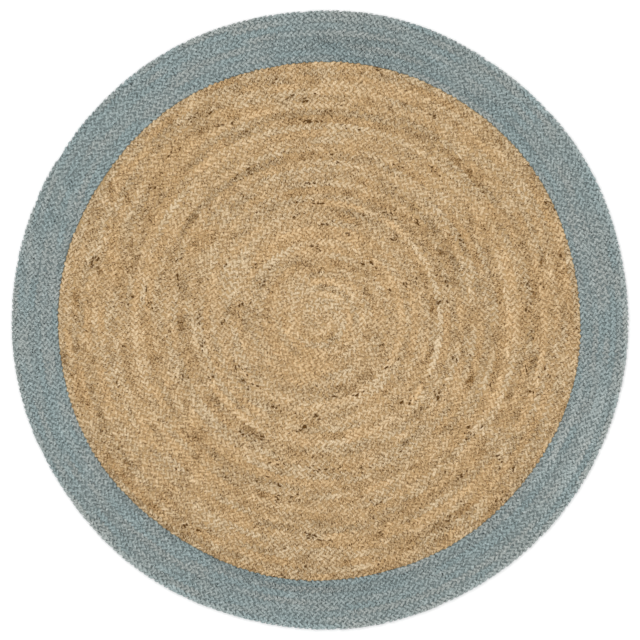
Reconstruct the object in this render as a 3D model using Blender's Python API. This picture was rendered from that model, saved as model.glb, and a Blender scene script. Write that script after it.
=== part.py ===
"""Round braided jute rug: a natural centre wound from one flat braid, and a dyed border
of the same braid wound on round it. It lies flat, seen from above, Z up, in metres.

The braid is wound outwards clockwise. Each turn of it shows as two raised half-rows
with a shallow dip between them and a deeper valley beside the next turn.
"""
import math

import bpy
import numpy as np
from mathutils import Vector
from mathutils.geometry import delaunay_2d_cdt

# Driving sizes
RUG_RADIUS = 0.600            # mean, to the outside of the border
CENTRE_RADIUS = 0.505         # mean, to the seam between centre and border
CENTRE_TURNS = 20             # turns of braid in the centre, 25 mm each
BORDER_TURNS = 4              # turns of dyed braid, 24 mm each
SEAM_GAP = 0.0003             # clear space between the two pieces

CREST_HEIGHT = 0.0082         # top of a half-row above the floor
DIP_HEIGHT = 0.0064           # dip between the two halves of one turn
VALLEY_HEIGHT = 0.0054        # valley between one turn and the next
SEAM_HEIGHT = 0.0052          # where centre and border meet
RIM_HEIGHT = 0.0040           # widest line of the outer edge
SHOULDER_HEIGHT = 0.0068      # the edge's upper round
SHOULDER_INSET = 0.0018
UNDERSIDE_INSET = 0.0015      # the edge turns in below its widest line

LINES_PER_TURN = 4            # valley, crest, dip, crest
JOIN_ANGLE = math.radians(172)    # where turns step over, and both braids end
JOIN_SPREAD = math.radians(34)    # length of that step, and of each tapered tail
EVEN_FROM = 10                # turns inside this one are a plain spiral
EVEN_TO = 19                  # turns outside this one lie as rings that step at the join
CHORD_ERROR = 0.0007          # how far a straight edge may leave its curve
LOOP_POINTS = 72              # points round each outline
OUTLINE_CLEARANCE = 0.0022    # least room between a row's line and an outline
SMALLEST_TURN = 0.2           # in turns from the middle, for the number of points
MIN_ROW_SHARE = 0.25          # a tail narrower than this share of a row is tucked under

# Unevenness of the outlines
RIM_OVAL = 0.00125            # how much the rug's radius is more up and down, and less across
SEAM_SHIFT = 0.0024           # how far the seam's ring lies off the middle
SEAM_SHIFT_ANGLE = math.radians(-127)   # and where to: the lower left
SEAM_OVAL = 0.0020            # how much the seam's radius is more one way, less the other
SEAM_OVAL_ANGLE = math.radians(13)      # direction of its longest radius
RIM_WAVES = (3, 7, 9)         # small waves round the rim, as counts
RIM_WAVE_HEIGHT = 0.0008
SEAM_WAVES = (3, 5, 8)        # small waves round the seam, as counts
SEAM_WAVE_HEIGHT = 0.0011
WAVE_TURN = 0.32              # radians that set the waves off, so that no crests line up
ROW_WANDER = 0.0008           # sideways drift of the rows
CENTRE_WANDERS = 3            # times round one turn of the centre
BORDER_WANDERS = 5            # times round one turn of the border
CREST_DRIFT = 0.0004          # rise and fall of the crests
CREST_DRIFTS = 7              # times round one turn
TURN_TO_TURN = 2.0            # how far both have moved on from one turn to the next

NATURAL_COLOUR = (0.55, 0.38, 0.20)
DYED_COLOUR = (0.25, 0.31, 0.30)
FIBRE_ROUGHNESS = 0.9


def clear_scene():
    """Remove every object already in the scene."""
    for obj in list(bpy.data.objects):
        bpy.data.objects.remove(obj, do_unlink=True)


def small_waves(angle, counts, height):
    """Sum of cosine waves, each set off by its count squared, at one angle or an array."""
    total = 0.0
    for count in counts:
        total = total + height * np.cos(count * angle + WAVE_TURN * count ** 2)
    return total


def rim_radius(angle):
    """Outer radius of the rug."""
    oval = -RIM_OVAL * np.cos(2.0 * angle)
    return RUG_RADIUS + oval + small_waves(angle, RIM_WAVES, RIM_WAVE_HEIGHT)


def seam_radius(angle):
    """Radius of the seam between the centre and the border."""
    shift = SEAM_SHIFT * np.cos(angle - SEAM_SHIFT_ANGLE)
    oval = SEAM_OVAL * np.cos(2.0 * (angle - SEAM_OVAL_ANGLE))
    return (CENTRE_RADIUS + shift + oval
            + small_waves(angle, SEAM_WAVES, SEAM_WAVE_HEIGHT))


def smooth_ramp(value, start, end):
    """0 before start, 1 after end, and a smooth rise between."""
    share = min(max((value - start) / (end - start), 0.0), 1.0)
    return share * share * (3.0 - 2.0 * share)


def step_share(evenness, past_join):
    """How far a row has stepped over to the next one, from 0 to 1, round one turn.

    past_join is the angle travelled anticlockwise since the join. A plain spiral
    (evenness 0) steps steadily; an even row (evenness 1) steps only before the join.
    """
    full = 2.0 * math.pi
    return ((1.0 - evenness) * past_join / full
            + evenness * smooth_ramp(past_join, full - JOIN_SPREAD, full))


def sideways(times_round, rows, angle):
    """Slow sideways drift of a row, which differs from one row to the next."""
    return ROW_WANDER * math.sin(times_round * angle + TURN_TO_TURN * rows)


def centre_place(rows, angle):
    """Radius of a line of the centre that lies so many rows out from the middle."""
    plain = rows / CENTRE_TURNS
    outline_share = (seam_radius(angle) - SEAM_GAP / 2.0) / CENTRE_RADIUS - 1.0
    wander = sideways(CENTRE_WANDERS, rows, angle) * math.sin(math.pi * plain)
    return CENTRE_RADIUS * plain * (1.0 + outline_share * plain * plain) + wander


def border_place(rows, angle):
    """Radius of a line of the border that lies so many rows out from the seam."""
    plain = rows / BORDER_TURNS
    inner = seam_radius(angle) + SEAM_GAP / 2.0
    wander = sideways(BORDER_WANDERS, rows, angle) * math.sin(math.pi * plain)
    return inner + (rim_radius(angle) - inner) * plain + wander


def row_line(row, line, turns, place, evenness):
    """Points along one valley, crest or dip, once round anticlockwise from the join.

    The first row narrows to nothing at the braid's inner end and the last one at its
    outer end, so their lines are spread over the width that is left there.
    """
    height = (VALLEY_HEIGHT, CREST_HEIGHT, DIP_HEIGHT, CREST_HEIGHT)[line]
    across = line / LINES_PER_TURN
    mean_radius = place(max(row + across - 0.5, SMALLEST_TURN), JOIN_ANGLE)
    steps = math.ceil(2.0 * math.pi / math.sqrt(8.0 * CHORD_ERROR / mean_radius))
    points = []
    for step in range(steps + 1):
        past_join = 2.0 * math.pi * step / steps
        share = step_share(evenness(row + across), past_join)
        width = 1.0
        rows = row + across - share
        if row == 0:
            width = 1.0 - share
            rows = across * width
        if row == turns:
            width = share
            rows = turns - width * (1.0 - across)
        if width > MIN_ROW_SHARE and row + line > 0:
            angle = JOIN_ANGLE + past_join
            radius = place(rows, angle)
            drift = CREST_DRIFT * math.sin(CREST_DRIFTS * angle + TURN_TO_TURN * rows)
            on_crest = line % 2
            rise = (height - VALLEY_HEIGHT) * math.sqrt(width)
            points.append((radius * math.cos(angle), radius * math.sin(angle),
                           VALLEY_HEIGHT + rise + drift * on_crest))
    return points


def wound_lines(turns, place, evenness):
    """All the valleys, dips and crests of a wound braid, row by row."""
    return [row_line(row, line, turns, place, evenness)
            for row in range(turns + 1) for line in range(LINES_PER_TURN)]


def outline(radius_of, inset, height):
    """A closed loop of points round the rug, anticlockwise."""
    angles = np.arange(LOOP_POINTS) * 2.0 * math.pi / LOOP_POINTS
    radii = radius_of(angles) + inset
    return np.stack([radii * np.cos(angles), radii * np.sin(angles),
                     np.full(LOOP_POINTS, height)], axis=1)


def rug_middle():
    """Middle of the box round the rug's outline, which is placed at the origin."""
    rim = outline(rim_radius, 0.0, 0.0)
    return (rim.min(axis=0) + rim.max(axis=0)) / 2.0


def inside_loop(points, loop):
    """Whether each point lies inside a closed loop, seen from above (even-odd rule)."""
    ends = np.roll(loop, -1, axis=0)
    x, y = points[:, :1], points[:, 1:2]
    crosses = (loop[:, 1] > y) != (ends[:, 1] > y)
    rise = np.where(ends[:, 1] == loop[:, 1], 1.0, ends[:, 1] - loop[:, 1])
    cut = loop[:, 0] + (y - loop[:, 1]) * (ends[:, 0] - loop[:, 0]) / rise
    return (crosses & (x < cut)).sum(axis=1) % 2 == 1


def keep_clear(lines, inner_limit, outer_limit):
    """Runs of line points that stay clear of the piece's inner and outer outline."""
    runs = []
    for points in lines:
        run = []
        for point in points:
            radius = math.hypot(point[0], point[1])
            angle = math.atan2(point[1], point[0])
            low = inner_limit(angle) + OUTLINE_CLEARANCE
            high = outer_limit(angle) - OUTLINE_CLEARANCE
            if low < radius < high:
                run.append(point)
            elif run:
                runs.append(run)
                run = []
        runs.append(run)
    return [run for run in runs if run]


def top_surface(lines, outer_loops, inner_loops):
    """Triangles over the lines and loops, with each line and loop kept as edges.

    Loops are given from the outline inwards for the outer edge, and outwards for the
    inner one. Returns the points, the triangles and the numbers of each loop's points.
    """
    points = []
    edges = []
    numbers = []
    for loop in outer_loops + inner_loops:
        first = len(points)
        points.extend(tuple(point) for point in loop)
        numbers.append(list(range(first, first + len(loop))))
        edges.extend((first + i, first + (i + 1) % len(loop)) for i in range(len(loop)))
    for run in lines:
        first = len(points)
        points.extend(run)
        edges.extend((first + i, first + i + 1) for i in range(len(run) - 1))
    flat = [Vector(point[:2]) for point in points]
    spots, _, faces, sources, _, _ = delaunay_2d_cdt(flat, edges, [], 0, 1e-6, True)
    heights = [points[source[0]][2] if source else None for source in sources]
    if None in heights:
        raise RuntimeError("two lines of the braid cross")
    new_number = {old: new for new, source in enumerate(sources) for old in source}
    spots = np.array([(spot.x, spot.y, height) for spot, height in zip(spots, heights)])
    faces = np.array(faces)
    middles = spots[faces].mean(axis=1)
    wanted = inside_loop(middles, outer_loops[0])
    if inner_loops:
        wanted &= ~inside_loop(middles, inner_loops[0])
    loops = [[new_number[number] for number in loop] for loop in numbers]
    return spots, faces[wanted], loops


def close_solid(name, spots, faces, rims, floors):
    """Close the top surface with walls and a flat underside, as one named object.

    rims are the numbers of the outlines in the top, outer first, and floors are the
    loops of points that stand below them on the floor.
    """
    points = [tuple(spot) for spot in spots]
    polygons = [tuple(int(number) for number in face) for face in faces]
    feet = []
    for rim, floor in zip(rims, floors):
        first = len(points)
        points.extend(tuple(point) for point in floor)
        feet.append(list(range(first, first + len(floor))))
    count = LOOP_POINTS
    for which, (rim, foot) in enumerate(zip(rims, feet)):
        for i in range(count):
            j = (i + 1) % count
            wall = (rim[i], foot[i], foot[j], rim[j])
            polygons.append(wall if which == 0 else wall[::-1])
    if len(feet) == 1:
        polygons.append(tuple(feet[0][::-1]))
    else:
        for i in range(count):
            j = (i + 1) % count
            polygons.append((feet[0][i], feet[1][i], feet[1][j], feet[0][j]))
    mesh = bpy.data.meshes.new(name)
    mesh.from_pydata(np.array(points) - rug_middle(), [], polygons)
    mesh.validate()
    mesh.update()
    obj = bpy.data.objects.new(name, mesh)
    bpy.context.scene.collection.objects.link(obj)
    return obj


def add_material(obj, name, colour):
    """Give an object its own plain material."""
    material = bpy.data.materials.new(name)
    material.use_nodes = True
    shader = material.node_tree.nodes["Principled BSDF"]
    shader.inputs["Base Color"].default_value = (*colour, 1.0)
    shader.inputs["Roughness"].default_value = FIBRE_ROUGHNESS
    shader.inputs["Metallic"].default_value = 0.0
    obj.data.materials.append(material)


def make_centre():
    """The natural jute centre: one braid wound from the middle out to the seam."""
    lines = wound_lines(CENTRE_TURNS, centre_place,
                        lambda row: smooth_ramp(row, EVEN_FROM, EVEN_TO))
    rim = outline(seam_radius, -SEAM_GAP / 2.0, SEAM_HEIGHT)
    lines = keep_clear(lines, lambda angle: 0.0, seam_radius)
    spots, faces, loops = top_surface(lines, [rim], [])
    floor = outline(seam_radius, -SEAM_GAP / 2.0, 0.0)
    obj = close_solid("natural_centre", spots, faces, loops[:1], [floor])
    add_material(obj, "natural_jute", NATURAL_COLOUR)


def make_border():
    """The dyed border: the same braid wound on round the centre."""
    lines = wound_lines(BORDER_TURNS, border_place, lambda row: 1.0)
    rim = outline(rim_radius, 0.0, RIM_HEIGHT)
    shoulder = outline(rim_radius, -SHOULDER_INSET, SHOULDER_HEIGHT)
    seam = outline(seam_radius, SEAM_GAP / 2.0, SEAM_HEIGHT)
    lines = keep_clear(lines, seam_radius, lambda angle: rim_radius(angle) - SHOULDER_INSET)
    spots, faces, loops = top_surface(lines, [rim, shoulder], [seam])
    floors = [outline(rim_radius, -UNDERSIDE_INSET, 0.0),
              outline(seam_radius, SEAM_GAP / 2.0, 0.0)]
    obj = close_solid("dyed_border", spots, faces, [loops[0], loops[2]], floors)
    add_material(obj, "dyed_jute", DYED_COLOUR)


def main():
    clear_scene()
    make_centre()
    make_border()


main()
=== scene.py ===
"""Looks of a round jute rug: plaited strands, wound into a natural centre and a dyed border.

Each half-row of the rug is a plait of three strands. What shows of a strand is one bean-shaped
stretch at a time, from the middle of the plait out to its edge, and the next strand crosses
over its end. The beans follow the wound line of their half-row, on a felted ground, and small
dark bits of bark lie on the natural ones.
"""

import math

import bpy
import numpy as np
from bpy.props import FloatProperty, FloatVectorProperty, IntProperty, PointerProperty
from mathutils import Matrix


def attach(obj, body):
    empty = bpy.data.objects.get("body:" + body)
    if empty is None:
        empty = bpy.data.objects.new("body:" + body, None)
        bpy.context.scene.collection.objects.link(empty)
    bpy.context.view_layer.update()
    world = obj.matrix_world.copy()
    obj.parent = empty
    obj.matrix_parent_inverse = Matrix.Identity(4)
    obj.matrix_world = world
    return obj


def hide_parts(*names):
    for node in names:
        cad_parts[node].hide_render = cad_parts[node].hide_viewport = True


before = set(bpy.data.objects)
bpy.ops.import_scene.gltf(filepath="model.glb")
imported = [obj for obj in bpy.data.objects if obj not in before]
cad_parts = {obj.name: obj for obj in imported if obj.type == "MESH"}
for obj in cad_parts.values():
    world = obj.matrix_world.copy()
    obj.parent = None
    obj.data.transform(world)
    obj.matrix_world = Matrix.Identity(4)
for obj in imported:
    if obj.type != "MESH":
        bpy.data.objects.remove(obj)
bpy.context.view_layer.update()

bl_info = {
    "name": "Round Jute Rug",
    "version": (1, 0, 0),
    "blender": (4, 5, 0),
    "location": "3D View > Sidebar > Jute Rug",
    "description": "Builds a round rug of wound jute plait with a dyed border, and its stage",
    "category": "Object",
}

ROOT = "root"
FULL_TURN = 2.0 * math.pi

# Unevenness of the outlines, as in the solids
RIM_OVAL = 0.00125            # how much the rug's radius is more up and down, and less across
SEAM_SHIFT = 0.0024           # how far the seam's ring lies off the middle
SEAM_SHIFT_ANGLE = math.radians(-127)   # and where to: the lower left
SEAM_OVAL = 0.0020            # how much the seam's radius is more one way, less the other
SEAM_OVAL_ANGLE = math.radians(13)      # direction of its longest radius
RIM_WAVES = (3, 7, 9)         # small waves round the rim, as counts
RIM_WAVE_HEIGHT = 0.0008
SEAM_WAVES = (3, 5, 8)        # small waves round the seam, as counts
SEAM_WAVE_HEIGHT = 0.0011
WAVE_TURN = 0.32              # radians that set the waves off against each other, picked so
                              # that the largest bulges fall near where the photo has them

# The rows and their plaits
EVEN_FROM = 10                # turns inside this one are a plain spiral
EVEN_TO = 19                  # turns outside this one lie as rings that step at the join
CENTRE_DRIFTS = 3.0           # slow waves of the rows' drift in one turn
BORDER_DRIFTS = 5.0
TURN_TO_TURN = 2.0            # how far the drift moves on from one turn to the next
PAIR_FROM = 0.45              # share of a row's full width from which it holds two plaits
PAIR_TO = 0.75                # and at which both are full
PATH_POINTS = 360             # points on a plait's line in one turn
OUTLINE_POINTS = 72           # points round the rug that its middle is worked out from
PLAIT_STARTS = 0.4            # share of its full width at which a plait's strands start
CLEAR_MIDDLE = 0.003          # radius of the middle that no plait's line enters

# One visible stretch of strand, from its buried end in the middle of the plait outwards:
# along it in stitches, aside in plait widths, its rise and its thickness
STRAND_STATIONS = (
    # along, aside, rise, thickness
    (-0.53, -0.09, -0.90, 0.00),
    (-0.44, -0.06, -0.55, 0.85),
    (-0.16, 0.08, 0.45, 1.00),
    (0.09, 0.24, 1.00, 1.00),
    (0.32, 0.39, 0.60, 1.00),
    (0.52, 0.51, -0.25, 0.88),
    (0.60, 0.56, -0.70, 0.00),
)
STRAND_SIDES = 5

# One bit of bark: along it in half lengths, and its thickness
BARK_STATIONS = ((-1.00, 0.00), (-0.70, 0.80), (0.00, 1.00), (0.70, 0.80), (1.00, 0.00))
BARK_SIDES = 4
BARK_BROWN = (0.110, 0.050, 0.012)
BARK_SHARES = (0.12, 0.98)    # where the groups lie, as shares of the plait's length
BARK_INWARD = 1.3             # and the power that draws them towards the middle of the rug
BARK_MOST = 5                 # bits in a group, at most
BARK_ASIDE = 0.004            # spread across the plait
BARK_LENGTH_SPREAD = 0.30
BARK_THICKNESS_SPREAD = 0.25
BARK_LEAN = (10.0, 12.0)      # mean and spread of the lean, in degrees
BARK_LEVEL = 0.9              # height up a strand's half thickness where it lies
BARK_FLATNESS = 0.4           # its height, as a share of its width

# The paler and darker lengths of jute that stand out in the braids, listed to a tenth
# of a turn, from looking at the photo laid out along the plaits: the turns where a length
# starts and ends, the plait it is in (0 the inner, 1 the outer), and its tone
NATURAL_BATCHES = (
    # from turn, to turn, plait, tone
    (0.0, 1.9, 0, 0.7),
    (0.3, 1.6, 1, 0.7),
    (2.2, 9.8, 0, 0.2),
    (2.2, 9.8, 1, 0.2),
    (2.2, 4.1, 1, 0.5),
    (3.0, 4.1, 0, 0.4),
    (5.0, 6.2, 0, -0.4),
    (5.1, 5.9, 1, -0.6),
    (6.0, 7.1, 1, 0.7),
    (9.2, 9.6, 0, -0.9),
    (9.2, 9.9, 1, 0.8),
    (10.7, 11.5, 0, -0.6),
    (13.0, 14.0, 0, -0.6),
    (14.4, 14.9, 1, 0.8),
    (15.1, 15.6, 0, 1.2),
    (15.1, 15.4, 1, -0.7),
    (16.0, 16.4, 0, -0.5),
    (18.6, 18.7, 0, -1.5),
    (15.0, 20.0, 0, -0.2),
    (15.0, 20.0, 1, -0.2),
)
DYED_BATCHES = (
    # from turn, to turn, plait, tone
    (0.2, 0.3, 0, -0.6),
    (0.2, 0.4, 1, -0.5),
    (0.5, 0.6, 1, 1.2),
    (0.7, 0.9, 0, -0.8),
    (0.6, 0.8, 1, -0.8),
    (1.2, 1.3, 0, -0.8),
    (1.2, 1.3, 1, -0.8),
    (2.5, 2.6, 0, 1.0),
    (2.5, 2.6, 1, 1.0),
    (3.3, 3.9, 1, 0.8),
)
BATCH_FADE = 0.03             # turns over which such a length fades in and out, at most

# How the strands differ; where there are two, the natural and the dyed one
STITCH_DRIFT = 0.0015         # slow drift of the stitches along the plait
STITCH_DRIFT_LENGTH = 0.06    # and the length over which it changes
WIDTH_SPREAD = 0.11           # spread of a strand's width, as a share of it
THICKNESS_SPREAD = 0.10
STRETCH_SPREAD = 0.10
TURN_SPREAD = math.radians(9.0)
LIFT_SPREAD = 0.0002          # spread of its height
SHOVE_SPREAD = 0.0006         # and of its place along and aside
TAPERED_HEIGHT = 0.55         # share of a strand's height that is left where a plait ends
NATURAL_TONES = 0.35          # how much the tone of a strand drifts
DYED_TONES = 0.12
STRAND_TONE_LENGTH = 0.3      # length over which one strand's own tone changes
PLAIT_TONE_LENGTH = 0.35      # and over which all three change together
NATURAL_MOTTLE = 0.64         # how much the tone changes over a few centimetres
DYED_MOTTLE = 0.04
MOTTLE_LENGTH = 0.016         # distance between the places where the mottle is drawn
MOTTLE_DARKENING = 0.15       # how much its strongest places are darkened, light or dark
NATURAL_STRAND_TONE = 0.40    # how much the tone differs from one stretch to the next
DYED_STRAND_TONE = 0.20
WARMTH_NOISES = ((0.25, 0.5), (0.05, 0.8))   # length and spread of each part of the warmth
UV_OFFSETS = (900.0, 400)     # millimetres along and turns round, up to which a copy is moved

# Edges
EDGE_INSET = 0.0015           # how far inside the rim the pressing starts
RIM_PRESS = 0.7               # how much of what stands past the rim is pressed back
SEAM_PRESS = 0.45             # how much of what stands over the seam is pressed back

# Jute material
TWIST_PER_MM = 0.08           # turns of a strand's yarn about itself
FLECK_EDGE = 14.0             # how sharp the edge of a dark fleck is
FLECK_BY_TONE = 0.03          # how much fewer flecks a paler strand has
TONE_GAIN = 0.085             # how much a strand's own tone counts
STREAK_GAIN = 1.3             # and how much its fibres' streaks do
PAINTED_SHADE_FROM = 0.0070            # height above the floor where the painted shade between the strands starts
PAINTED_SHADE_TO = 0.0050              # and where it is full

# Ground, floor and lamp
GROUND_TOP = 0.0048           # heights of the felted ground's upper and lower face
GROUND_BOTTOM = 0.0004
GROUND_SPOKES = 96
GROUND_INSET = 0.003          # how far the ground stays inside the rim
FLOOR_DROP = 0.0002           # how far the floor lies under the rug, so that they don't touch
LAMP_SIZE = 2.5
LAMP_PLACE = (-1.0, 1.2, 3.0)   # over the upper left of the photo, and aimed at the rug
LAMP_TILT = (math.radians(-21), math.radians(-18), 0.0)


# ------------ sizes

class RugSizes(bpy.types.PropertyGroup):
    """Sizes of the whole rug and of its rows."""
    rug_radius: FloatProperty(name="Rug radius", default=0.600, unit="LENGTH",
                              description="Mean radius to the outside of the border")
    centre_radius: FloatProperty(name="Centre radius", default=0.505, unit="LENGTH",
                                 description="Mean radius of the seam inside the border")
    seam_gap: FloatProperty(name="Seam gap", default=0.0003, unit="LENGTH",
                            description="Clear space between the centre and the border")
    centre_turns: IntProperty(name="Centre turns", default=20,
                              description="Turns of braid in the natural centre")
    border_turns: IntProperty(name="Border turns", default=4,
                              description="Turns of dyed braid")
    join_angle: FloatProperty(name="Join angle", default=math.radians(172), subtype="ANGLE",
                              description="Where the rows step over and both braids end")
    join_spread: FloatProperty(name="Join spread", default=math.radians(34), subtype="ANGLE",
                               description="Length of that step and of each tapered tail")
    wander: FloatProperty(name="Row wander", default=0.0008, unit="LENGTH",
                          description="Slow sideways drift of the rows")


class PlaitSizes(bpy.types.PropertyGroup):
    """Sizes of the plait and of its strands."""
    centre_stitch: FloatProperty(name="Centre stitch", default=0.0117, unit="LENGTH",
                                 description="Length of one stitch along a natural row")
    border_stitch: FloatProperty(name="Border stitch", default=0.0107, unit="LENGTH",
                                 description="Length of one stitch along a dyed row")
    middle_height: FloatProperty(name="Middle height", default=0.0050, unit="LENGTH",
                                 description="Height of the plait's middle above the floor")
    rise: FloatProperty(name="Rise", default=0.0008, unit="LENGTH",
                        description="How far a strand rises where it crosses over")
    half_thickness: FloatProperty(name="Half thickness", default=0.0023, unit="LENGTH",
                                  description="Half of a strand's thickness, upright")
    half_width: FloatProperty(name="Half width", default=0.24,
                              description="Half of a strand's width, in plait widths")
    bark_groups: IntProperty(name="Bark groups", default=75,
                             description="Groups of dark bits of bark on each natural plait")
    bark_length: FloatProperty(name="Bark length", default=0.0052, unit="LENGTH",
                               description="Usual length of a bit of bark")
    bark_thickness: FloatProperty(name="Bark thickness", default=0.0013, unit="LENGTH",
                                  description="Half the usual width of a bit of bark")
    bark_spread: FloatProperty(name="Bark spread", default=0.009, unit="LENGTH",
                               description="How far the bits of a group lie apart")
    unevenness: FloatProperty(name="Unevenness", default=1.0, min=0.0, max=2.0,
                              description="How much the strands differ from each other")


class JuteColours(bpy.types.PropertyGroup):
    """Colours of the fibre, from its darkest to its lightest."""
    natural_dark: FloatVectorProperty(name="Natural, dark", subtype="COLOR", size=3,
                                      default=(0.205, 0.108, 0.029),
                                      description="Brown of the darkest natural strands")
    natural_mid: FloatVectorProperty(name="Natural, middle", subtype="COLOR", size=3,
                                     default=(0.552, 0.424, 0.263),
                                     description="Tan of most natural strands")
    natural_light: FloatVectorProperty(name="Natural, light", subtype="COLOR", size=3,
                                       default=(0.820, 0.675, 0.478),
                                       description="Straw of the lightest natural strands")
    dyed_dark: FloatVectorProperty(name="Dyed, dark", subtype="COLOR", size=3,
                                   default=(0.080, 0.104, 0.104),
                                   description="Grey of the darkest dyed strands")
    dyed_mid: FloatVectorProperty(name="Dyed, middle", subtype="COLOR", size=3,
                                  default=(0.306, 0.339, 0.326),
                                  description="Blue-grey of most dyed strands")
    dyed_light: FloatVectorProperty(name="Dyed, light", subtype="COLOR", size=3,
                                    default=(0.590, 0.625, 0.606),
                                    description="Pale grey of the lightest dyed strands")


class StageSettings(bpy.types.PropertyGroup):
    """Floor, light and camera."""
    floor_size: FloatProperty(name="Floor size", default=12.0, unit="LENGTH",
                              description="Side of the square floor")
    camera_height: FloatProperty(name="Camera height", default=4.0, unit="LENGTH",
                                 description="Height of the camera above the rug")
    half_view: FloatProperty(name="Half view", default=0.6216, unit="LENGTH",
                             description="What the camera sees to each side of its middle")
    sky_strength: FloatProperty(name="Sky strength", default=1.12,
                                description="Strength of the even light from all sides")
    lamp_power: FloatProperty(name="Lamp power", default=20.0, unit="POWER",
                              description="Power of the soft lamp overhead")


# ------------ the wound lines

def small_waves(angle, counts, height):
    """Sum of cosine waves round the rug, each set off by its count squared."""
    total = np.zeros_like(angle)
    for count in counts:
        total += height * np.cos(count * angle + WAVE_TURN * count ** 2)
    return total


def rim_radius(sizes, angle):
    """Outer radius of the rug: an oval with small waves."""
    oval = -RIM_OVAL * np.cos(2.0 * angle)
    return sizes.rug_radius + oval + small_waves(angle, RIM_WAVES, RIM_WAVE_HEIGHT)


def seam_radius(sizes, angle):
    """Radius of the seam between the centre and the border: a shifted oval with waves."""
    shift = SEAM_SHIFT * np.cos(angle - SEAM_SHIFT_ANGLE)
    oval = SEAM_OVAL * np.cos(2.0 * (angle - SEAM_OVAL_ANGLE))
    return (sizes.centre_radius + shift + oval
            + small_waves(angle, SEAM_WAVES, SEAM_WAVE_HEIGHT))


def rug_middle(sizes):
    """Middle of the box round the rug's outline, which lies at the origin."""
    angle = np.arange(OUTLINE_POINTS) * FULL_TURN / OUTLINE_POINTS
    radius = rim_radius(sizes, angle)
    x, y = radius * np.cos(angle), radius * np.sin(angle)
    return (x.min() + x.max()) / 2.0, (y.min() + y.max()) / 2.0


def smooth_ramp(value, start, end):
    """0 before start, 1 after end, and a smooth rise between."""
    share = np.clip((value - start) / (end - start), 0.0, 1.0)
    return share * share * (3.0 - 2.0 * share)


def row_drift(sizes, drifts, angle, rows, plain):
    """Slow sideways drift of a row: a sine round the rug that fades out at both edges."""
    return sizes.wander * np.sin(drifts * angle + TURN_TO_TURN * rows) * np.sin(math.pi * plain)


def centre_place(sizes, rows, angle):
    """Radius of a line of the centre that lies so many rows out from the middle."""
    plain = rows / sizes.centre_turns
    outline = (seam_radius(sizes, angle) - sizes.seam_gap / 2.0) / sizes.centre_radius - 1.0
    drift = row_drift(sizes, CENTRE_DRIFTS, angle, rows, plain)
    return sizes.centre_radius * plain * (1.0 + outline * plain * plain) + drift


def border_place(sizes, rows, angle):
    """Radius of a line of the border that lies so many rows out from the seam."""
    plain = rows / sizes.border_turns
    inner = seam_radius(sizes, angle) + sizes.seam_gap / 2.0
    drift = row_drift(sizes, BORDER_DRIFTS, angle, rows, plain)
    return inner + (rim_radius(sizes, angle) - inner) * plain + drift


def wound_line(sizes, dyed, outer):
    """The line of one plait of a braid, from its inner end to its outer end.

    Seen from above it winds outwards clockwise. Row by row its radius is the row's number
    less the share of a row that it has stepped over since the join. A row holds two plaits,
    the inner and the outer one. The first and the last row narrow to nothing, and there the
    outer plait ends first and the inner one moves over to the middle. Returns the angle,
    radius and scale at each point, the turn, and the length run up to there.
    """
    turns = sizes.border_turns if dyed else sizes.centre_turns
    place = border_place if dyed else centre_place
    wound = np.arange((turns + 1) * PATH_POINTS) / PATH_POINTS
    row = np.floor(wound)
    past_join = FULL_TURN * (1.0 - (wound - row))
    even = 1.0 if dyed else smooth_ramp(row + (0.75 if outer else 0.25), EVEN_FROM, EVEN_TO)
    late = smooth_ramp(past_join, FULL_TURN - sizes.join_spread, FULL_TURN)
    share = (1.0 - even) * past_join / FULL_TURN + even * late
    width = np.where(row == 0, 1.0 - share, np.where(row == turns, share, 1.0))
    both = smooth_ramp(width, PAIR_FROM, PAIR_TO)
    across = 1.0 - both / 4.0 if outer else 0.5 - both / 4.0
    scale = width * both if outer else width * (2.0 - both)
    rows = np.where(row == 0, across * width, row + across - share)
    rows = np.where(row == turns, turns - width * (1.0 - across), rows)
    angle = sizes.join_angle + FULL_TURN * (1.0 - wound)
    radius = place(sizes, rows, angle)
    first, last = np.flatnonzero((scale > PLAIT_STARTS) & (radius > CLEAR_MIDDLE))[[0, -1]]
    span = slice(first, last + 1)
    line = {"angle": angle[span], "radius": radius[span], "scale": scale[span],
            "wound": wound[span], "dyed": dyed}
    step = np.hypot(np.diff(line["radius"]), line["radius"][1:] * np.diff(line["angle"]))
    line["length"] = np.concatenate([[0.0], np.cumsum(step)])
    return line


def press_edges(sizes, dyed, angle, radius):
    """The radius, with part of what stands out past the rim or over the seam pressed back."""
    seam = seam_radius(sizes, angle)
    if not dyed:
        return radius - SEAM_PRESS * np.maximum(radius - seam, 0.0)
    past = np.maximum(radius - rim_radius(sizes, angle) + EDGE_INSET, 0.0)
    return radius - RIM_PRESS * past + SEAM_PRESS * np.maximum(seam - radius, 0.0)


def on_line(sizes, line, along, aside, height):
    """World points that lie along, aside of and above a wound line."""
    angle = np.interp(along, line["length"], line["angle"])
    radius = np.interp(along, line["length"], line["radius"])
    radius = radius + aside * np.interp(along, line["length"], line["scale"])
    radius = press_edges(sizes, line["dyed"], angle, radius)
    middle = rug_middle(sizes)
    return np.stack([radius * np.cos(angle) - middle[0],
                     radius * np.sin(angle) - middle[1], height], axis=-1)


# ------------ meshes

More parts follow.
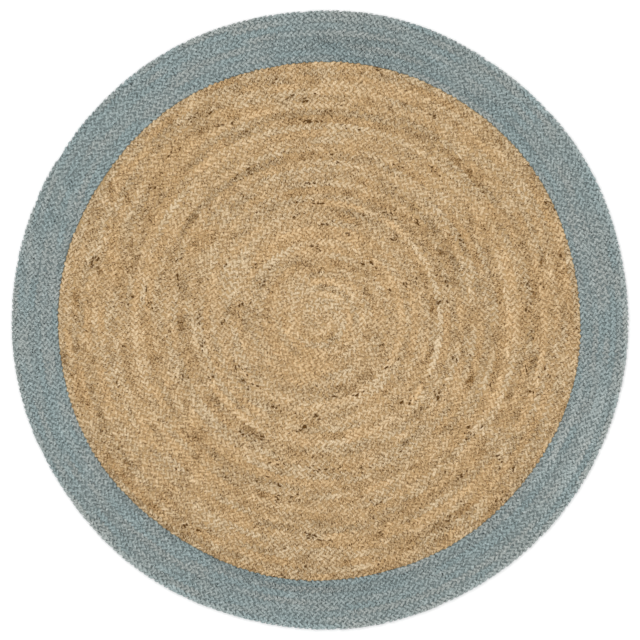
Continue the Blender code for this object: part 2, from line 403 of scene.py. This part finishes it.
def new_piece(name, points, quads, triangles, corner_uv=None, values=None, smooth=True):
    """A mesh object from arrays of points, quads and triangles, with its UV and values."""
    mesh = bpy.data.meshes.new(name)
    mesh.vertices.add(len(points))
    mesh.vertices.foreach_set("co", np.ascontiguousarray(points, dtype=np.float32).ravel())
    corners = np.concatenate([quads.ravel(), triangles.ravel()]).astype(np.int32)
    mesh.loops.add(len(corners))
    mesh.loops.foreach_set("vertex_index", corners)
    count = len(quads) + len(triangles)
    sides = np.concatenate([np.full(len(quads), 4), np.full(len(triangles), 3)])
    mesh.polygons.add(count)
    starts = np.concatenate([[0], np.cumsum(sides)[:-1]]).astype(np.int32)
    mesh.polygons.foreach_set("loop_start", starts)
    mesh.polygons.foreach_set("use_smooth", np.full(count, smooth))
    if corner_uv is not None:
        layer = mesh.uv_layers.new(name="UVMap")
        layer.uv.foreach_set("vector", corner_uv.astype(np.float32).ravel())
    for label, value in (values or {}).items():
        attribute = mesh.attributes.new(label, "FLOAT", "POINT")
        attribute.data.foreach_set("value", np.ascontiguousarray(value, dtype=np.float32))
    mesh.update(calc_edges=True)
    if mesh.validate():
        raise RuntimeError(f"{name}: a face of the mesh is broken")
    obj = bpy.data.objects.new(name, mesh)
    bpy.context.scene.collection.objects.link(obj)
    return obj


def tube_faces(rings, sides):
    """Quads and end triangles of a closed tube: a pole, rings of points, and a pole."""
    ring, side = np.meshgrid(np.arange(rings - 1), np.arange(sides), indexing="ij")
    after = (side + 1) % sides
    first = 1 + ring * sides
    quads = np.stack([first + side, first + after, first + sides + after,
                      first + sides + side], axis=-1).reshape(-1, 4)
    side = np.arange(sides)
    after = (side + 1) % sides
    last = 1 + (rings - 1) * sides
    end = last + sides
    triangles = np.concatenate([
        np.stack([np.zeros(sides, int), 1 + after, 1 + side], axis=-1),
        np.stack([np.full(sides, end), last + side, last + after], axis=-1)])
    return quads, triangles


def tube_points(stations, sides):
    """Which points of a tube's rings count, where its first and last ring are one point."""
    keep = np.ones((len(stations), sides), bool)
    keep[0, 1:] = keep[-1, 1:] = False
    return keep


def face_corners(*pairs):
    """UV corners of faces, from a pair of u and v for each corner."""
    return np.stack([np.stack(pair, axis=-1) for pair in pairs], axis=-2)


def tube_uv(lengths, rings, sides):
    """UV of each corner of such a tube: the length along it, and the share round it."""
    ring, side = np.meshgrid(np.arange(rings - 1), np.arange(sides), indexing="ij")
    u = lengths[1:-1]
    near, far = side / sides, (side + 1) / sides
    quads = face_corners((u[ring], near), (u[ring], far), (u[ring + 1], far),
                         (u[ring + 1], near)).reshape(-1, 4, 2)
    side = np.arange(sides)
    ends = []
    for pole, ring, first, second in ((0, 1, side + 1, side), (-1, -2, side, side + 1)):
        beside = np.full(sides, lengths[ring])
        ends.append(face_corners((np.full(sides, lengths[pole]), (side + 0.5) / sides),
                                 (beside, first / sides), (beside, second / sides)))
    return quads, np.concatenate(ends)


def repeat_faces(faces, copies, points_each, mirrored):
    """The faces of every copy of a shape; mirrored copies are wound the other way."""
    plain = faces[None] + (np.arange(copies) * points_each)[:, None, None]
    turned = plain[:, :, ::-1]
    return np.where(mirrored[:, None, None], turned, plain).reshape(-1, faces.shape[1])


def repeat_uv(uv, offsets, mirrored):
    """The UV corners of every copy, in the same order as its faces."""
    turned = uv[:, ::-1]
    each = np.where(mirrored[:, None, None, None], turned[None], uv[None])
    return (each + offsets[:, None, None, :]).reshape(-1, 2)


# ------------ strands

def slow_noise(rng, length, spacing, spread):
    """A smooth random value along a length: cubic-eased steps between random knots."""
    knots = rng.normal(0.0, spread, int(length.max() / spacing) + 3)
    place = length / spacing
    index = np.floor(place).astype(int)
    share = place - index
    share = share * share * (3.0 - 2.0 * share)
    return knots[index] * (1.0 - share) + knots[index + 1] * share


def batch_tone(wound, dyed, outer):
    """Tone of the batches of jute along one plait; each fades in and out at its ends."""
    tone = np.zeros_like(wound)
    for start, end, plait, value in DYED_BATCHES if dyed else NATURAL_BATCHES:
        if plait == outer:
            fade = min(BATCH_FADE, (end - start) / 3.0)
            tone += value * (smooth_ramp(wound, start, start + fade)
                             - smooth_ramp(wound, end - fade, end))
    return tone


def plait_strands(sizes, plait, dyed, outer, rng):
    """Points of every visible stretch of strand along one plait.

    The stretches follow each other half a stitch apart, and each leans out from the middle
    of the plait to its edge: to the right for even numbers, and mirrored to the left for
    odd ones. The n-th belongs to strand n modulo 3.
    """
    line = wound_line(sizes, dyed, outer)
    stitch = plait.border_stitch if dyed else plait.centre_stitch
    row_width = ((sizes.rug_radius - sizes.centre_radius) / sizes.border_turns if dyed
                 else sizes.centre_radius / sizes.centre_turns) / 2.0
    total = line["length"][-1]
    number = np.arange(int((total - stitch) / (stitch / 2.0)))
    count = len(number)
    uneven = plait.unevenness
    place = stitch / 2.0 + number * stitch / 2.0
    place = place + slow_noise(rng, place, STITCH_DRIFT_LENGTH, STITCH_DRIFT * uneven)
    left = number % 2 == 1
    strand = number % 3

    stations = np.array(STRAND_STATIONS)
    along, aside = stations[:, 0] * stitch, stations[:, 1] * row_width
    rise, girth = stations[:, 2] * plait.rise, stations[:, 3]
    slope = np.stack([np.gradient(along), np.gradient(aside)], axis=-1)
    slope /= np.linalg.norm(slope, axis=1)[:, None]
    round_angle = math.radians(90) + np.arange(STRAND_SIDES) * FULL_TURN / STRAND_SIDES

    wide = plait.half_width * row_width * rng.normal(1.0, WIDTH_SPREAD * uneven, count)
    thick = plait.half_thickness * rng.normal(1.0, THICKNESS_SPREAD * uneven, count)
    stretch = rng.normal(1.0, STRETCH_SPREAD * uneven, count)
    turn = rng.normal(0.0, TURN_SPREAD * uneven, count)
    lift = rng.normal(0.0, LIFT_SPREAD * uneven, count)
    shove = rng.normal(0.0, SHOVE_SPREAD * uneven, (count, 2))
    full = np.clip(np.interp(place, line["length"], line["scale"]), 0.0, 1.0)
    flat = TAPERED_HEIGHT + (1.0 - TAPERED_HEIGHT) * full

    ring_x = -slope[:, 1, None] * girth[:, None] * np.cos(round_angle)
    ring_y = slope[:, 0, None] * girth[:, None] * np.cos(round_angle)
    ring_z = girth[:, None] * np.sin(round_angle)
    x = (along[:, None] + ring_x * wide[:, None, None]) * stretch[:, None, None]
    y = aside[:, None] + ring_y * wide[:, None, None]
    z = (rise[:, None] + ring_z * thick[:, None, None]) * flat[:, None, None]
    cosine, sine = np.cos(turn)[:, None, None], np.sin(turn)[:, None, None]
    x, y = x * cosine - y * sine, x * sine + y * cosine
    x = x + shove[:, 0, None, None]
    y = (y + shove[:, 1, None, None]) * np.where(left, -1.0, 1.0)[:, None, None]
    sunk = (1.0 - flat) * (plait.rise + plait.half_thickness)
    z = z + plait.middle_height + (lift + sunk)[:, None, None]

    keep = tube_points(stations, STRAND_SIDES)
    points = on_line(sizes, line, place[:, None, None] + x, y, z)[:, keep]
    reach = np.concatenate([[0.0], np.cumsum(np.hypot(np.diff(along), np.diff(aside)))])

    wound = np.interp(place, line["length"], line["wound"])
    spread = (DYED_TONES if dyed else NATURAL_TONES) * uneven
    mottle = (DYED_MOTTLE if dyed else NATURAL_MOTTLE) * uneven
    tones = np.stack([slow_noise(rng, place, STRAND_TONE_LENGTH, spread) for _ in range(3)])
    tone = tones[strand, number] + batch_tone(wound, dyed, outer)
    blotch = slow_noise(rng, place, MOTTLE_LENGTH, mottle)
    tone = tone + slow_noise(rng, place, PLAIT_TONE_LENGTH, spread)
    tone = tone + blotch - MOTTLE_DARKENING * blotch ** 2
    single = (DYED_STRAND_TONE if dyed else NATURAL_STRAND_TONE) * uneven
    tone = tone + rng.normal(0.0, single, count)
    warmth = sum(slow_noise(rng, place, length, amount) for length, amount in WARMTH_NOISES)
    return {"points": points, "left": left, "tone": tone, "warmth": warmth, "turn": wound,
            "lengths": reach * 1000.0}


def strand_piece(name, parts, rng):
    """One mesh of all the stretches of strand in its parts, each a closed bean."""
    points = np.concatenate([part["points"] for part in parts])
    left = np.concatenate([part["left"] for part in parts])
    tone = np.concatenate([part["tone"] for part in parts])
    warmth = np.concatenate([part["warmth"] for part in parts])
    copies, each = points.shape[:2]
    rings = len(STRAND_STATIONS) - 2
    quads, triangles = tube_faces(rings, STRAND_SIDES)
    quad_uv, triangle_uv = tube_uv(parts[0]["lengths"], rings, STRAND_SIDES)
    offsets = np.stack([rng.uniform(0.0, UV_OFFSETS[0], copies),
                        rng.integers(0, UV_OFFSETS[1], copies)], axis=-1)
    uv = np.concatenate([repeat_uv(quad_uv, offsets, left),
                         repeat_uv(triangle_uv, offsets, left)])
    values = {"tone": np.repeat(tone, each), "warmth": np.repeat(warmth, each)}
    return new_piece(name, points.reshape(-1, 3), repeat_faces(quads, copies, each, left),
                     repeat_faces(triangles, copies, each, left), uv, values)


def bark_piece(name, sizes, settings, rng):
    """One mesh of small dark bits of bark that lie on the natural strands, in loose groups.

    Each is a thin closed spindle. Its group lies anywhere along a wound line, more often
    further in, and the bits of the group lie near each other, leaning a little.
    """
    groups = settings.bark_groups
    lines = [wound_line(sizes, False, outer) for outer in (False, True)]
    stations = np.array(BARK_STATIONS)
    round_angle = np.arange(BARK_SIDES) * FULL_TURN / BARK_SIDES
    points = []
    for line in lines:
        total = line["length"][-1]
        start = rng.uniform(*BARK_SHARES, groups) ** BARK_INWARD * total
        group = np.repeat(start, rng.integers(1, BARK_MOST + 1, groups))
        count = len(group)
        along = np.clip(group + rng.normal(0.0, settings.bark_spread, count), 0.02, total)
        aside = rng.normal(0.0, BARK_ASIDE, count)
        half = 0.5 * settings.bark_length * rng.lognormal(0.0, BARK_LENGTH_SPREAD, count)
        thick = settings.bark_thickness * rng.lognormal(0.0, BARK_THICKNESS_SPREAD, count)
        lean = np.radians(rng.normal(*BARK_LEAN, count)) * rng.choice((-1.0, 1.0), count)
        level = settings.middle_height + settings.rise + settings.half_thickness * BARK_LEVEL
        shift = stations[:, 0, None] * half[:, None, None]
        side = stations[:, 1, None] * np.cos(round_angle) * thick[:, None, None]
        up = stations[:, 1, None] * np.sin(round_angle) * BARK_FLATNESS * thick[:, None, None]
        cosine, sine = np.cos(lean)[:, None, None], np.sin(lean)[:, None, None]
        x = along[:, None, None] + shift * cosine - side * sine
        y = aside[:, None, None] + shift * sine + side * cosine
        keep = tube_points(stations, BARK_SIDES)
        points.append(on_line(sizes, line, x, y, level + up)[:, keep])
    points = np.concatenate(points)
    copies, each = points.shape[:2]
    plain = np.zeros(copies, bool)
    quads, triangles = tube_faces(len(stations) - 2, BARK_SIDES)
    return new_piece(name, points.reshape(-1, 3), repeat_faces(quads, copies, each, plain),
                     repeat_faces(triangles, copies, each, plain))


def select(part, chosen):
    """The stretches of strand for which chosen is true."""
    return {key: value if key == "lengths" else value[chosen] for key, value in part.items()}


# ------------ ground

def ground_piece(name, sizes, inner_of, outer_of, rings, closed_middle):
    """The felted ground between the strands: a flat disc or ring with upright edges.

    It is a closed skin: radius runs from the inner edge to the outer one on top, straight
    down there, and back underneath. A disc closes in a point above and below.
    """
    spokes = GROUND_SPOKES
    angle = np.arange(spokes) * FULL_TURN / spokes
    inner, outer = inner_of(angle), outer_of(angle)
    share = np.linspace(0.0, 1.0, rings)
    top = inner[None] + (outer - inner)[None] * share[:, None]
    radius = np.concatenate([top, top[::-1]])
    level = np.concatenate([np.full(rings, GROUND_TOP), np.full(rings, GROUND_BOTTOM)])
    if closed_middle:
        radius, level = radius[1:-1], level[1:-1]
    layers = len(level)
    middle = rug_middle(sizes)
    points = np.stack([radius * np.cos(angle) - middle[0], radius * np.sin(angle) - middle[1],
                       np.broadcast_to(level[:, None], radius.shape)], axis=-1)
    layer, spoke = np.meshgrid(np.arange(layers - closed_middle), np.arange(spokes),
                               indexing="ij")
    after = (spoke + 1) % spokes
    below = (layer + 1) % layers
    quads = np.stack([layer * spokes + spoke, below * spokes + spoke,
                      below * spokes + after, layer * spokes + after], axis=-1)
    points = points.reshape(-1, 3)
    triangles = np.zeros((0, 3), int)
    if closed_middle:
        poles = np.array([[-middle[0], -middle[1], GROUND_TOP],
                          [-middle[0], -middle[1], GROUND_BOTTOM]])
        spoke = np.arange(spokes)
        after = (spoke + 1) % spokes
        count = layers * spokes
        last = (layers - 1) * spokes
        triangles = np.concatenate([
            np.stack([np.full(spokes, count), spoke, after], axis=-1),
            np.stack([np.full(spokes, count + 1), last + after, last + spoke], axis=-1)])
        points = np.concatenate([points, poles])
    return new_piece(name, points, quads.reshape(-1, 4), triangles)


# ------------ materials

def add_node(tree, kind, place, **settings):
    """A node of a kind at a place in the tree, with its settings."""
    node = tree.nodes.new(kind)
    node.location = place
    for key, value in settings.items():
        setattr(node, key, value)
    return node


def set_inputs(node, **values):
    """Sets inputs of a node; a word of two parts is written with an underscore."""
    for name, value in values.items():
        node.inputs[name.replace("_", " ")].default_value = value


def math_node(tree, operation, place, first, second):
    """A Math node; its inputs are sockets or numbers."""
    node = add_node(tree, "ShaderNodeMath", place, operation=operation)
    for index, value in enumerate((first, second)):
        if isinstance(value, (int, float)):
            node.inputs[index].default_value = value
        else:
            tree.links.new(value, node.inputs[index])
    return node.outputs[0]


def drawn_out_noise(tree, uv, stretch, scale, detail, place):
    """Noise that is drawn out along the strand; stretch is per mm, scale per turn round."""
    grow = add_node(tree, "ShaderNodeVectorMath", place, operation="MULTIPLY")
    grow.inputs[1].default_value = (stretch, scale, 0.0)
    tree.links.new(uv, grow.inputs[0])
    noise = add_node(tree, "ShaderNodeTexNoise", (place[0] + 200, place[1]))
    set_inputs(noise, Scale=1.0, Detail=detail)
    tree.links.new(grow.outputs[0], noise.inputs["Vector"])
    return noise.outputs["Fac"]


def fibre_group():
    """Node group of jute fibre along a strand: streaks, their height, and dark flecks.

    It reads the strand's UV, in millimetres along it and turns round it, and winds it round
    the strand as the yarn is twisted. A streak is the sum of a broad yarn noise and a fine
    fibre noise, both drawn out along the twist, less one. A fleck is where a third such
    noise passes a limit.
    """
    tree = bpy.data.node_groups.new("jute_fibre", "ShaderNodeTree")
    tree.interface.new_socket("Fleck Limit", in_out="INPUT", socket_type="NodeSocketFloat")
    for name in ("Streak", "Height", "Fleck"):
        tree.interface.new_socket(name, in_out="OUTPUT", socket_type="NodeSocketFloat")
    group_in = add_node(tree, "NodeGroupInput", (-900, -300))
    group_out = add_node(tree, "NodeGroupOutput", (700, 0))
    uv = add_node(tree, "ShaderNodeUVMap", (-1300, 200), uv_map="UVMap").outputs["UV"]
    parts = add_node(tree, "ShaderNodeSeparateXYZ", (-1150, 200))
    tree.links.new(uv, parts.inputs[0])
    turned = math_node(tree, "MULTIPLY", (-1000, 300), parts.outputs["X"], TWIST_PER_MM)
    turned = math_node(tree, "ADD", (-850, 300), turned, parts.outputs["Y"])
    wound = add_node(tree, "ShaderNodeCombineXYZ", (-700, 200))
    tree.links.new(parts.outputs["X"], wound.inputs[0])
    tree.links.new(turned, wound.inputs[1])
    uv = wound.outputs[0]
    yarn = drawn_out_noise(tree, uv, 0.25, 4.5, 1.0, (-600, 300))
    fine = drawn_out_noise(tree, uv, 0.18, 16.0, 3.0, (-600, 50))
    spot = drawn_out_noise(tree, uv, 0.22, 4.0, 1.0, (-600, -250))
    both = math_node(tree, "ADD", (100, 100), yarn, fine)
    streak = math_node(tree, "SUBTRACT", (300, 100), both, 1.0)
    height = math_node(tree, "MULTIPLY", (300, -60), both, 0.5)
    past = math_node(tree, "SUBTRACT", (100, -250), spot, group_in.outputs["Fleck Limit"])
    fleck = add_node(tree, "ShaderNodeMath", (300, -250), operation="MULTIPLY",
                     use_clamp=True)
    fleck.inputs[1].default_value = FLECK_EDGE
    tree.links.new(past, fleck.inputs[0])
    tree.links.new(streak, group_out.inputs["Streak"])
    tree.links.new(height, group_out.inputs["Height"])
    tree.links.new(fleck.outputs[0], group_out.inputs["Fleck"])
    return tree


def mix_colours(tree, place, factor, first, second, blend="MIX"):
    """A colour Mix node; its factor is a socket, its colours are sockets or values."""
    node = add_node(tree, "ShaderNodeMix", place, data_type="RGBA", blend_type=blend)
    tree.links.new(factor, node.inputs["Factor"])
    for label, colour in (("A", first), ("B", second)):
        if isinstance(colour, tuple):
            node.inputs[label].default_value = (*colour, 1.0)
        else:
            tree.links.new(colour, node.inputs[label])
    return node.outputs["Result"]


def bare_material(name):
    """A new material, with its node tree and its shader."""
    material = bpy.data.materials.new(name)
    material.use_nodes = True
    return material, material.node_tree, material.node_tree.nodes["Principled BSDF"]


def jute_material(name, dark, mid, light, warm, painted_shade, fleck, limit):
    """Jute strand: its tone, from dark to light, comes from the strand and its fibres.

    Low down between the strands the colour is multiplied by a darker one, as painted shade,
    warmer on the natural jute; a strand's warmth tints it towards the warm one. A fleck shows
    where its noise passes the limit, so that a darker strand has more of them.
    """
    material, tree, shader = bare_material(name)
    set_inputs(shader, Roughness=0.85, Specular_IOR_Level=0.02)
    fibre = add_node(tree, "ShaderNodeGroup", (-900, 0))
    fibre.node_tree = bpy.data.node_groups.get("jute_fibre") or fibre_group()
    tone = add_node(tree, "ShaderNodeAttribute", (-1300, 250), attribute_name="tone")
    shift = math_node(tree, "MULTIPLY", (-1120, 0), tone.outputs["Fac"], FLECK_BY_TONE)
    limits = math_node(tree, "ADD", (-1010, -120), shift, limit)
    tree.links.new(limits, fibre.inputs["Fleck Limit"])
    warmth = add_node(tree, "ShaderNodeAttribute", (-900, 450), attribute_name="warmth")
    own = math_node(tree, "MULTIPLY", (-700, 250), tone.outputs["Fac"], TONE_GAIN)
    streak = math_node(tree, "MULTIPLY", (-700, 100), fibre.outputs["Streak"], STREAK_GAIN)
    total = math_node(tree, "ADD", (-520, 200), own, streak)
    factor = math_node(tree, "ADD", (-360, 200), total, 0.5)
    ramp = add_node(tree, "ShaderNodeValToRGB", (-200, 250))
    ramp.color_ramp.elements[0].color = (*dark, 1.0)
    ramp.color_ramp.elements[1].color = (*light, 1.0)
    middle = ramp.color_ramp.elements.new(0.5)
    middle.color = (*mid, 1.0)
    tree.links.new(factor, ramp.inputs[0])
    amount = math_node(tree, "MULTIPLY", (-360, 450), warmth.outputs["Fac"], 0.5)
    amount = math_node(tree, "ADD", (-200, 480), amount, 0.5)
    limited = add_node(tree, "ShaderNodeClamp", (-50, 480))
    tree.links.new(amount, limited.inputs[0])
    colour = mix_colours(tree, (60, 300), limited.outputs[0], ramp.outputs["Color"],
                         tuple(warm), "MULTIPLY")
    # painted shade: the lower a point lies between the strands, the more its colour is
    # multiplied by the darker shade colour
    place = add_node(tree, "ShaderNodeTexCoord", (-560, 650))
    parts = add_node(tree, "ShaderNodeSeparateXYZ", (-380, 650))
    tree.links.new(place.outputs["Object"], parts.inputs[0])
    painted_shade_amount = add_node(tree, "ShaderNodeMapRange", (-200, 700))
    set_inputs(painted_shade_amount, From_Min=PAINTED_SHADE_FROM, From_Max=PAINTED_SHADE_TO)
    tree.links.new(parts.outputs["Z"], painted_shade_amount.inputs["Value"])
    colour = mix_colours(tree, (150, 450), painted_shade_amount.outputs[0], colour, tuple(painted_shade), "MULTIPLY")
    colour = mix_colours(tree, (240, 300), fibre.outputs["Fleck"], colour, tuple(fleck))
    tree.links.new(colour, shader.inputs["Base Color"])
    bump = add_node(tree, "ShaderNodeBump", (-200, -150))
    set_inputs(bump, Strength=0.7, Distance=0.0009)
    tree.links.new(fibre.outputs["Height"], bump.inputs["Height"])
    tree.links.new(bump.outputs["Normal"], shader.inputs["Normal"])
    return material


def bark_material():
    """Bark left on the jute: plain dark brown."""
    material, _, shader = bare_material("bark")
    set_inputs(shader, Base_Color=(*BARK_BROWN, 1.0), Roughness=0.8, Specular_IOR_Level=0.02)
    return material


def ground_material(name, dark, light):
    """Felted jute between the strands: matted short fibre, mottled and without shine, in
    colours set darker than the strands' as painted shade of the pits.
    """
    material, tree, shader = bare_material(name)
    set_inputs(shader, Roughness=0.95, Specular_IOR_Level=0.1)
    place = add_node(tree, "ShaderNodeTexCoord", (-800, 0))
    noise = add_node(tree, "ShaderNodeTexNoise", (-600, 0))
    set_inputs(noise, Scale=900.0, Detail=3.0)
    tree.links.new(place.outputs["Object"], noise.inputs["Vector"])
    ramp = add_node(tree, "ShaderNodeValToRGB", (-350, 100))
    ramp.color_ramp.elements[0].position = 0.3
    ramp.color_ramp.elements[0].color = (*dark, 1.0)
    ramp.color_ramp.elements[1].position = 0.7
    ramp.color_ramp.elements[1].color = (*light, 1.0)
    tree.links.new(noise.outputs["Fac"], ramp.inputs[0])
    tree.links.new(ramp.outputs["Color"], shader.inputs["Base Color"])
    bump = add_node(tree, "ShaderNodeBump", (-350, -200))
    set_inputs(bump, Distance=0.0006)
    tree.links.new(noise.outputs["Fac"], bump.inputs["Height"])
    tree.links.new(bump.outputs["Normal"], shader.inputs["Normal"])
    return material


# ------------ operators

NATURAL_SPLITS = (0, 10, 14, 17, 21)   # the turns where one piece ends and the next starts
DYED_SPLITS = (0, 2, 5)
NATURAL_SEED = 11
DYED_SEED = 23
BARK_SEED = 37


def dress(piece, material, node):
    """Gives a piece its material and its body, and hides the solid of its node."""
    piece.data.materials.append(material)
    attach(piece, ROOT)
    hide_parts(node)


def lay_strands(scene, dyed, splits, seed):
    """The strands of both plaits of a braid, in one piece for each stretch between splits."""
    rng = np.random.default_rng(seed)
    label = "dyed_strands" if dyed else "natural_strands"
    plaits = [plait_strands(scene.rug_sizes, scene.rug_plait, dyed, outer, rng)
              for outer in (False, True)]
    pieces = []
    for number, (first, last) in enumerate(zip(splits, splits[1:])):
        parts = [select(plait, (plait["turn"] >= first) & (plait["turn"] < last))
                 for plait in plaits]
        pieces.append(strand_piece(f"{label}_{number + 1}", parts, rng))
    return pieces


class RUG_OT_natural_strands(bpy.types.Operator):
    """Lay the natural strands, turn by turn, in four pieces"""
    bl_idname = "rug.natural_strands"
    bl_label = "Natural strands"

    def execute(self, context):
        scene = context.scene
        colours = scene.rug_colours
        # the darker colour low between the strands is painted shade, with the warm cast of
        # light bounced in the jute
        material = jute_material("natural_jute_strand", colours.natural_dark,
                                 colours.natural_mid, colours.natural_light,
                                 warm=(1.0, 0.91, 0.79), painted_shade=(0.985, 0.87, 0.66),
                                 fleck=BARK_BROWN, limit=0.595)
        for piece in lay_strands(scene, False, NATURAL_SPLITS, NATURAL_SEED):
            dress(piece, material, "natural_centre")
        return {"FINISHED"}


class RUG_OT_dyed_strands(bpy.types.Operator):
    """Lay the dyed strands of the border, in two pieces"""
    bl_idname = "rug.dyed_strands"
    bl_label = "Dyed strands"

    def execute(self, context):
        scene = context.scene
        colours = scene.rug_colours
        # the slight grey low between the strands is painted shade
        material = jute_material("dyed_jute_strand", colours.dyed_dark, colours.dyed_mid,
                                 colours.dyed_light, warm=(0.86, 0.96, 1.0),
                                 painted_shade=(0.97, 0.97, 0.97), fleck=(0.010, 0.016, 0.016),
                                 limit=0.62)
        for piece in lay_strands(scene, True, DYED_SPLITS, DYED_SEED):
            dress(piece, material, "dyed_border")
        return {"FINISHED"}


class RUG_OT_bark(bpy.types.Operator):
    """Strew the small dark bits of bark over the natural strands"""
    bl_idname = "rug.bark"
    bl_label = "Bark"

    def execute(self, context):
        scene = context.scene
        piece = bark_piece("bark_bits", scene.rug_sizes, scene.rug_plait,
                           np.random.default_rng(BARK_SEED))
        dress(piece, bark_material(), "natural_centre")
        return {"FINISHED"}


class RUG_OT_ground(bpy.types.Operator):
    bl_idname = "rug.ground"
    bl_label = "Ground"

    def execute(self, context):
        sizes = context.scene.rug_sizes
        natural = ground_piece(
            "natural_ground", sizes, lambda angle: np.zeros_like(angle),
            lambda angle: seam_radius(sizes, angle) - sizes.seam_gap, rings=24,
            closed_middle=True)
        # painted shade: these colours are set darker and warmer than the natural strands' to
        # stand for the shade in the pits
        dress(natural, ground_material("natural_ground_fibre_and_shade", (0.40, 0.26, 0.125),
                                       (0.62, 0.44, 0.23)), "natural_centre")
        dyed = ground_piece(
            "dyed_ground", sizes, lambda angle: seam_radius(sizes, angle) + sizes.seam_gap,
            lambda angle: rim_radius(sizes, angle) - GROUND_INSET, rings=6, closed_middle=False)
        # painted shade: these colours are set darker than the dyed strands' to stand for the
        # shade in the pits
        dress(dyed, ground_material("dyed_ground_fibre_and_shade", (0.15, 0.185, 0.185),
                                    (0.25, 0.30, 0.30)), "dyed_border")
        return {"FINISHED"}


class RUG_OT_stage(bpy.types.Operator):
    """Set the pale floor, the soft light and the camera straight above"""
    bl_idname = "rug.stage"
    bl_label = "Stage"

    def execute(self, context):
        scene = context.scene
        settings = scene.rug_stage
        half = settings.floor_size / 2.0
        corners = np.array([[-half, -half, -FLOOR_DROP], [half, -half, -FLOOR_DROP],
                            [half, half, -FLOOR_DROP], [-half, half, -FLOOR_DROP]])
        floor = new_piece("floor", corners, np.array([[0, 1, 2, 3]]), np.zeros((0, 3), int))
        material, _, shader = bare_material("pale_floor")
        set_inputs(shader, Base_Color=(0.92, 0.92, 0.92, 1.0), Roughness=0.9)
        floor.data.materials.append(material)

        world = bpy.data.worlds.new("studio")
        world.use_nodes = True
        sky = world.node_tree.nodes["Background"]
        set_inputs(sky, Color=(1.0, 1.0, 1.0, 1.0), Strength=settings.sky_strength)
        scene.world = world

        lamp = bpy.data.lights.new("softbox", "AREA")
        lamp.shape = "SQUARE"
        lamp.size = LAMP_SIZE
        lamp.energy = settings.lamp_power
        box = bpy.data.objects.new("softbox", lamp)
        box.location = LAMP_PLACE
        box.rotation_euler = LAMP_TILT
        scene.collection.objects.link(box)

        lens = bpy.data.cameras.new("camera")
        lens.sensor_width = 36.0
        lens.lens = lens.sensor_width * settings.camera_height / (2.0 * settings.half_view)
        lens.clip_end = 50.0
        camera = bpy.data.objects.new("camera", lens)
        camera.location = (0.0, 0.0, settings.camera_height)
        scene.collection.objects.link(camera)
        scene.camera = camera
        scene.view_settings.view_transform = "Standard"
        return {"FINISHED"}


class RUG_PT_panel(bpy.types.Panel):
    """The rug's pieces and sizes"""
    bl_label = "Jute Rug"
    bl_idname = "RUG_PT_panel"
    bl_space_type = "VIEW_3D"
    bl_region_type = "UI"
    bl_category = "Jute Rug"

    def draw(self, context):
        layout = self.layout
        for step in STEPS:
            layout.operator(step.bl_idname)
        for group in (context.scene.rug_sizes, context.scene.rug_plait,
                      context.scene.rug_colours, context.scene.rug_stage):
            box = layout.box()
            for prop in group.__annotations__:
                box.prop(group, prop)


STEPS = (RUG_OT_natural_strands, RUG_OT_dyed_strands, RUG_OT_bark, RUG_OT_ground,
         RUG_OT_stage)
GROUPS = {"rug_sizes": RugSizes, "rug_plait": PlaitSizes, "rug_colours": JuteColours,
          "rug_stage": StageSettings}


def register():
    for group in GROUPS.values():
        bpy.utils.register_class(group)
    for label, group in GROUPS.items():
        setattr(bpy.types.Scene, label, PointerProperty(type=group))
    for step in STEPS:
        bpy.utils.register_class(step)
    bpy.utils.register_class(RUG_PT_panel)


def unregister():
    bpy.utils.unregister_class(RUG_PT_panel)
    for step in reversed(STEPS):
        bpy.utils.unregister_class(step)
    for label, group in GROUPS.items():
        delattr(bpy.types.Scene, label)
        bpy.utils.unregister_class(group)


def main():
    """Registers the classes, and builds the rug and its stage."""
    register()
    bpy.ops.rug.natural_strands()
    bpy.ops.rug.dyed_strands()
    bpy.ops.rug.bark()
    bpy.ops.rug.ground()
    bpy.ops.rug.stage()


if __name__ == "__main__":
    main()
